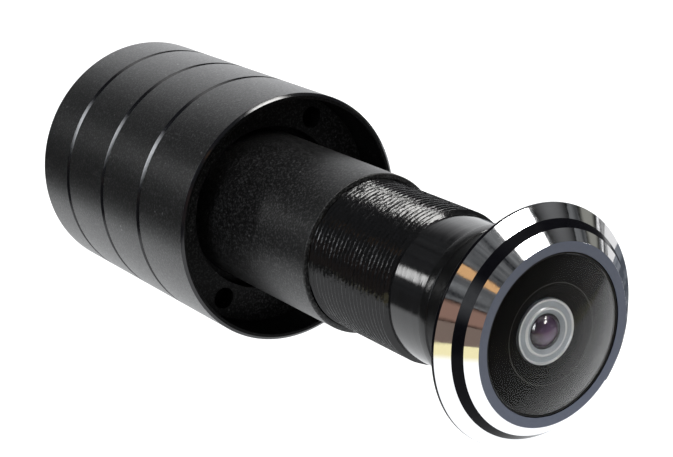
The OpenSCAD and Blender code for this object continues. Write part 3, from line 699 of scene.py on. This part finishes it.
def retaining_ring():
    """Ring at the bottom of the recess, with two spanner holes."""
    back, front, radius = reach("retaining_ring")
    outline = rounded([
        (back, RING_BORE), (back, radius), (front, radius, FINE_EDGE), (front, RING_BORE, FINE_EDGE)])
    ring = lathe("clamp_ring", outline)
    holes = opposite_points((RING_BORE + radius) / 2, RING_HOLE_ANGLE)
    drill(ring, RING_HOLE, FINE_EDGE, front, back - RING_HOLE_PAST, holes)
    dress(ring, "retaining_ring", [MATERIALS["ring_black"]])


def barrel():
    """Smooth sleeve with the flange that the ring clamps."""
    back, front, flange = reach("barrel")
    bore = BARREL_RADIUS - BARREL_WALL
    outline = rounded([
        (back, bore), (back, flange), (back + FLANGE, flange), (back + FLANGE, BARREL_RADIUS),
        (front, BARREL_RADIUS, BARREL_EDGE), (front, bore, FINE_EDGE)])
    sleeve = lathe("barrel_sleeve", outline)
    # Painted shade: the flange under the ring gets the darker black
    paint(sleeve, 1, lambda along, r: r > BARREL_RADIUS + SLIP)
    dress(sleeve, "barrel", [BARREL_BLACK, RECESS_PAINTED_SHADE])


def add_thread(mesh, start, end, crest):
    """Adds a helical thread whose rows follow the helix; chamfers cut it down at both ends."""
    draw = random.Random(THREAD_SEED)
    turns = math.ceil((end - start) / THREAD_PITCH) + 2
    columns = []
    for i in range(THREAD_SEGMENTS + 1):
        angle = math.tau * i / THREAD_SEGMENTS
        rise = THREAD_PITCH * i / THREAD_SEGMENTS - THREAD_PITCH
        column = []
        for turn, (phase, height) in itertools.product(range(turns), THREAD_PROFILE):
            along = min(max(start + rise + (turn + phase) * THREAD_PITCH, start), end)
            depth = THREAD_DEPTH * (1 - height) + draw.uniform(0, THREAD_BURR)
            chamfer = min(along - start, end - along)
            radius = min(crest - depth, TUBE_RADIUS + THREAD_CHAMFER * chamfer)
            column.append((radius * math.cos(angle), -along, radius * math.sin(angle)))
        columns.append(column)
    grid = [[mesh.verts.new(point) for point in column] for column in columns[:-1]]
    for i in range(THREAD_SEGMENTS):
        last = i == THREAD_SEGMENTS - 1
        here = grid[i]
        there = grid[0][len(THREAD_PROFILE):] if last else grid[i + 1]
        for j in range(min(len(here), len(there)) - 1):
            mesh.faces.new((here[j], there[j], there[j + 1], here[j + 1]))


def front_tube():
    """Tube of the lens head: thread behind, plain and glossy in front."""
    back, front, crest = reach("front_tube")
    thread_end = reach("barrel")[1] + THREAD_SHOWN
    mesh = bmesh.new()
    add_thread(mesh, back, thread_end, crest)
    outline = [(thread_end, TUBE_RADIUS), (front, TUBE_RADIUS), (front, LIP_RADIUS),
               (front - LIP, LIP_RADIUS), (front - LIP, TUBE_BORE), (back, TUBE_BORE), (back, TUBE_RADIUS)]
    turn_outline(mesh, outline, THREAD_SEGMENTS, closed=False)
    bmesh.ops.remove_doubles(mesh, verts=mesh.verts, dist=WELD)
    bmesh.ops.dissolve_degenerate(mesh, edges=mesh.edges, dist=WELD)
    tube = to_object(mesh, "threaded_tube")
    paint(tube, 1, lambda along, radius: along > thread_end)
    dress(tube, "front_tube", [MATERIALS["thread_black"], TURNED_BLACK])


def door_gasket():
    """Thick rubber washer behind the bezel, with a lipped sleeve round the tube."""
    back, front, radius = reach("door_gasket")
    bore = TUBE_RADIUS + SLIP
    neck = SLEEVE_RADIUS - SLEEVE_NECK
    seat = front - GASKET_FLANGE
    lip = back + SLEEVE_LIP
    outline = rounded([
        (back, bore), (back, SLEEVE_RADIUS, FINE_EDGE), (lip - SLEEVE_NECK, SLEEVE_RADIUS, FINE_EDGE),
        (lip, neck), (seat, neck, GASKET_EDGE), (seat, radius, GASKET_EDGE), (front, radius, GASKET_EDGE),
        (front, bore)])
    washer = lathe("gasket_washer", outline)
    paint(washer, 1, lambda along, r: along < lip)
    dress(washer, "door_gasket", [MATERIALS["gasket_rubber"], SMOOTH_RUBBER])


def bezel():
    """Bezel with two bright slopes; its edge and the step between them are black, its flat face is grey."""
    back, front, radius = reach("bezel")
    slope = back + BEZEL_EDGE
    riser = slope + OUTER_SLOPE
    nose = riser + RISER
    seat = reach("front_tube")[1]
    bore = TUBE_RADIUS + SLIP
    outline = rounded([
        (back, bore), (back, radius, FINE_EDGE), (slope, radius, FINE_EDGE),
        (riser, OUTER_SLOPE_RADIUS, FINE_EDGE), (nose, RISER_RADIUS, FINE_EDGE),
        (front, FACE_RADIUS, FINE_EDGE), (front, LENS_OPENING, FINE_EDGE), (seat, LENS_OPENING),
        (seat, bore)])
    piece = lathe("bezel_ring", outline)
    paint(piece, 1, lambda along, r: along < slope + FINE_EDGE or riser < along < nose)
    paint(piece, 2, lambda along, r: along > nose and r < FACE_RADIUS)
    dress(piece, "bezel", [MATERIALS["polished_chrome"], STEP_BLACK, FACE_GREY])


def dome_lens():
    """Domed front lens; its flat back is coated and hardly mirrors."""
    back, front, radius = reach("dome_lens")
    outline = [(back, 0), (back, radius), *cap(front, radius, DOME_SAG)]
    lens = lathe("front_dome", outline)
    paint(lens, 1, lambda along, r: along < back + SLIP)
    dress(lens, "dome_lens", [MATERIALS["front_glass"], LENS_BACK])


def lens_seal():
    """Black seal line round the front lens."""
    back, front, radius = reach("lens_seal")
    bore = reach("dome_lens")[2] + SLIP
    outline = rounded([(back, bore), (back, radius), (front, radius, SEAL_EDGE), (front, bore, SEAL_EDGE)])
    dress(lathe("lens_seal_line", outline), "lens_seal", [MATERIALS["seal_rubber"]])


def lens_baffle():
    """Black plate behind the front lens, stepped down to its hole."""
    back, front, radius = reach("lens_baffle")
    outline = rounded([
        (back, BAFFLE_HOLE), (back, radius), (front, radius), (front, BAFFLE_LAND),
        (front - BAFFLE_DROP, BAFFLE_STEP + BAFFLE_LINE), (front - BAFFLE_DROP, BAFFLE_STEP),
        (front - BAFFLE_HOLE_DROP, BAFFLE_HOLE, FINE_EDGE)])
    plate = lathe("baffle_plate", outline)
    # Painted highlight: the thin band at the step is coloured lighter
    paint(plate, 1, lambda along, r: along > back and BAFFLE_STEP < r < BAFFLE_STEP + BAFFLE_LINE)
    dress(plate, "lens_baffle", [MATERIALS["black_plastic"], PAINTED_STEP_HIGHLIGHT])


def inner_ring():
    """Pale ring round the inner lens, dished between two raised edges."""
    back, front, radius = reach("inner_ring")
    bore = reach("inner_lens")[2] + SLIP
    dish = front - INNER_RING_DISH
    outer = radius - INNER_RING_EDGE
    bevel = bore + INNER_RING_BEVEL
    inner = bevel + INNER_RING_EDGE
    outline = rounded([
        (back, bore), (back, radius), (front, radius, FINE_EDGE), (front, outer, FINE_EDGE),
        (dish, outer - INNER_RING_DISH, FINE_EDGE), (dish, inner + INNER_RING_DISH, FINE_EDGE),
        (front, inner, FINE_EDGE), (front, bevel, FINE_EDGE), (front - INNER_RING_FALL, bore)])
    ring = lathe("pale_ring", outline)
    # Painted highlight: the raised edges are coloured lighter than the dish
    paint(ring, 1, lambda along, r: along > dish + INNER_RING_SKIN and r > bevel)
    dress(ring, "inner_ring", [MATERIALS["bright_ring"], PAINTED_EDGE_HIGHLIGHT])


def inner_lens():
    """Small domed lens in the middle."""
    back, front, radius = reach("inner_lens")
    outline = [(back, 0), (back, radius), *cap(front, radius, INNER_LENS_SAG)]
    dress(lathe("inner_dome", outline), "inner_lens", [MATERIALS["coated_glass"]])


def carried_nodes():
    """Gives the nodes that stay as they are the material of their slot."""
    for name, node in frame["nodes"].items():
        if not node.hide_render:
            node.data.materials.clear()
            node.data.materials.append(MATERIALS[SLOT_OF[name]])


# Stage

def glow(name, strength, colour):
    """Material that only gives light; its colour is fixed or made by a function of the node tree."""
    made = bpy.data.materials.new(name)
    made.use_nodes = True
    tree = made.node_tree
    tree.nodes.clear()
    tint = colour(tree) if callable(colour) else (*colour, 1)
    light = wire(tree, "ShaderNodeEmission", {"Color": tint, "Strength": strength})
    wire(tree, "ShaderNodeOutputMaterial", {"Surface": light.outputs[0]})
    return made


def rectangle(name, width, height, matrix, material):
    """Flat stage card, in its own X and Y."""
    mesh = bmesh.new()
    corners = ((-1, -1), (1, -1), (1, 1), (-1, 1))
    mesh.faces.new([mesh.verts.new((x * width / 2, y * height / 2, 0)) for x, y in corners])
    card = to_object(mesh, name)
    card.matrix_world = matrix
    card.data.materials.append(material)
    return card


def mirrored_only(card):
    """Leaves a card to light the part: the camera doesn't see it, and it casts no shadow."""
    card.visible_camera = False
    card.visible_shadow = False


def soft_edges(tree, share):
    """1 in the middle of a card, falling to 0 at its edges."""
    parts = wire(tree, "ShaderNodeSeparateXYZ", {0: wire(tree, "ShaderNodeTexCoord").outputs["Generated"]})
    sides = []
    for axis in ("X", "Y"):
        away = wire(tree, "ShaderNodeMath", {0: parts.outputs[axis], 1: 0.5}, operation="SUBTRACT")
        off = wire(tree, "ShaderNodeMath", {0: away.outputs[0]}, operation="ABSOLUTE").outputs[0]
        sides.append(spread(tree, off, 1, 0, 0.5 - share, 0.5))
    return product(tree, *sides)


def beyond(tree, axis, limit, fade):
    """0 on one side of a limit across a card and 1 on the other side."""
    parts = wire(tree, "ShaderNodeSeparateXYZ", {0: place(tree)})
    return spread(tree, parts.outputs[axis], 0, 1, limit - fade / 2, limit + fade / 2)


def sheet_colours(tree):
    """The sheet, white with a cream margin in front, fading out to the front right, on a dim table."""
    parts = wire(tree, "ShaderNodeSeparateXYZ", {0: place(tree)}).outputs
    slant = {0: parts["Y"], 1: -SHEET_SLANT, 2: parts["X"]}
    off = wire(tree, "ShaderNodeMath", slant, operation="MULTIPLY_ADD").outputs[0]
    near = spread(tree, off, 1, 0, SHEET_FAR, SHEET_GONE)
    clear_of_margin = beyond(tree, "Y", SHEET_FRONT + SHEET_MARGIN, SHEET_MARGIN_FADE)
    paper = mix_colours(tree, clear_of_margin, SHEET_CREAM, SHEET_WHITE)
    left = beyond(tree, "X", SHEET_LEFT, SHEET_LEFT_FADE)
    front = beyond(tree, "Y", SHEET_FRONT, SHEET_FRONT_FADE)
    table = mix_colours(tree, front, TABLE_FRONT, TABLE_COLOUR)
    return mix_colours(tree, product(tree, product(tree, left, front), near), table, paper)


def floor():
    """Pale floor for the eye, and the white sheet that the metal mirrors."""
    level = CAD_BOX[0].z - SLIP
    fixed = {
        "Roughness": 0.9, "Specular IOR Level": 0.0,
        "Emission Strength": 1.0, "Emission Color": (1, 1, 1, 1),
    }
    white = surface(
        "pale_floor", fixed,
        lambda tree: mix_colours(tree, cloud(tree, FLOOR_CLOUD), FLOOR_DARK, FLOOR_LIGHT))
    ground = rectangle("floor", FLOOR_SIZE, FLOOR_SIZE, Matrix.Translation((0, 0, level - SLIP)), white)
    ground.visible_glossy = False
    ground.visible_diffuse = False
    turned = Matrix.Translation((0, 0, level)) @ Matrix.Rotation(math.radians(SHEET_TURN), 4, "Z")
    paper = glow("sheet_white", SHEET_LIGHT, sheet_colours)
    mirrored_only(rectangle("sheet", SHEET_SIZE, SHEET_SIZE, turned, paper))


def panel_light(softness, colour):
    """Colour of a panel, which fades to black at its edges."""
    return lambda tree: mix_colours(tree, soft_edges(tree, softness), (0, 0, 0), colour)


def panels():
    """Soft panels of light round the part."""
    for name, azimuth, elevation, width, height, distance, softness, radiance, colour in PANELS:
        turn, lift = math.radians(azimuth), math.radians(elevation)
        way = Vector((math.sin(turn) * math.cos(lift), -math.cos(turn) * math.cos(lift), math.sin(lift)))
        facing = way.to_track_quat("Z", "Y").to_matrix().to_4x4()
        sides = [2 * distance * math.tan(math.radians(angle) / 2) for angle in (width, height)]
        spot = Matrix.Translation(PANEL_AIM + way * distance) @ facing
        mirrored_only(rectangle(name, *sides, spot, glow(name, radiance, panel_light(softness, colour))))


def flag_colours(tree):
    """Streaks across the card beside the bezel."""
    streaks = spread(tree, cloud(tree, FLAG_STREAK, stretch=FLAG_STRETCH), 0, 1, *FLAG_SPREAD)
    return mix_colours(tree, streaks, FLAG_DARK, FLAG_LIGHT)


def edge_flag():
    """Dim streaky card beside the bezel, which the right edge of the chrome mirrors."""
    size = FLAG_HIGH - FLAG_LOW
    upright = Matrix.Translation((FLAG_LOW + FLAG_HIGH) / 2) @ Matrix.Rotation(math.radians(90), 4, "Y")
    mirrored_only(rectangle("edge_flag", size.z, size.y, upright, glow("flag_grey", 1.0, flag_colours)))


def backdrop():
    """Pale wall all round, far off, for views that look over the floor's edge."""
    mesh = bmesh.new()
    angles = [math.tau * i / BACKDROP_SEGMENTS for i in range(BACKDROP_SEGMENTS)]
    round_part = [(BACKDROP_RADIUS * math.cos(a), BACKDROP_RADIUS * math.sin(a)) for a in angles]
    levels = (CAD_BOX[0].z - BACKDROP_DROP, BACKDROP_HIGH)
    span_rings(mesh, *[[mesh.verts.new((x, y, level)) for x, y in round_part] for level in levels])
    wall = to_object(mesh, "backdrop")
    wall.data.materials.append(glow("backdrop_white", 1.0, (1, 1, 1)))
    for kind in ("visible_glossy", "visible_diffuse", "visible_transmission", "visible_shadow"):
        setattr(wall, kind, False)


def surroundings():
    """A dim, uneven room behind the panels."""
    world = bpy.data.worlds.new("dim_room")
    bpy.context.scene.world = world
    world.use_nodes = True
    tree = world.node_tree
    way = wire(tree, "ShaderNodeTexCoord").outputs["Generated"]
    uneven = wire(tree, "ShaderNodeTexNoise", {"Vector": way, "Scale": ROOM_SCALE, "Detail": ROOM_DETAIL})
    shade = mix_colours(tree, spread(tree, uneven.outputs["Fac"], 0, 1), ROOM_DARK, ROOM_LIGHT)
    tree.links.new(shade, tree.nodes["Background"].inputs["Color"])


def camera():
    """Camera at the photograph's place."""
    data = bpy.data.cameras.new("camera")
    data.lens = CAMERA_LENS
    data.sensor_width = CAMERA_SENSOR
    data.clip_start = CAMERA_NEAR
    eye = bpy.data.objects.new("camera", data)
    eye.location = CAMERA_AT
    eye.rotation_mode = "QUATERNION"
    eye.rotation_quaternion = CAMERA_LOOK.to_track_quat("-Z", "Y")
    bpy.context.scene.collection.objects.link(eye)
    bpy.context.scene.camera = eye


bpy.context.scene.view_settings.view_transform = "Standard"
camera()
for make in (housing, rear_cover, cable_grommet, retaining_ring, barrel, front_tube, door_gasket, bezel,
             dome_lens, lens_seal, lens_baffle, inner_ring, inner_lens, carried_nodes):
    make()
floor()
panels()
edge_flag()
backdrop()
surroundings()
